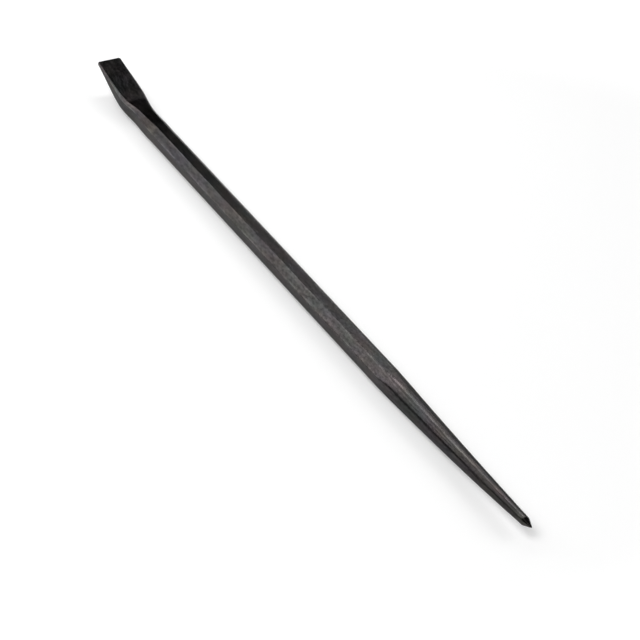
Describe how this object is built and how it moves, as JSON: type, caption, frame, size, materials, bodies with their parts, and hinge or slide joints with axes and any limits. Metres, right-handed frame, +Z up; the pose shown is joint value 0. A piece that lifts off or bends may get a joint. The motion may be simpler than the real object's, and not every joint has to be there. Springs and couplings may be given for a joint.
{
  "type": "alignment bar",
  "caption": "Forged eight-sided steel alignment bar with an upturned chisel blade at one end and a long round taper with a blunt conical point at the other, in a black finish.",
  "frame": {"origin": "under the middle of the bar's length, on the surface that the bar lies on", "axes": "+X along the bar from the round point to the chisel end, +Z up and square to the flat that the bar lies on, +Y to the left when looking along +X; the XZ plane is the plane of symmetry"},
  "size_m": [0.762, 0.0232, 0.0291],
  "materials": {
    "black_steel": "black heat-treat scale on drawn and forged carbon steel, satin with fine lengthwise grain"
  },
  "bodies": {
    "root": {"forged_bar": "black_steel"}
  },
  "joints": []
}
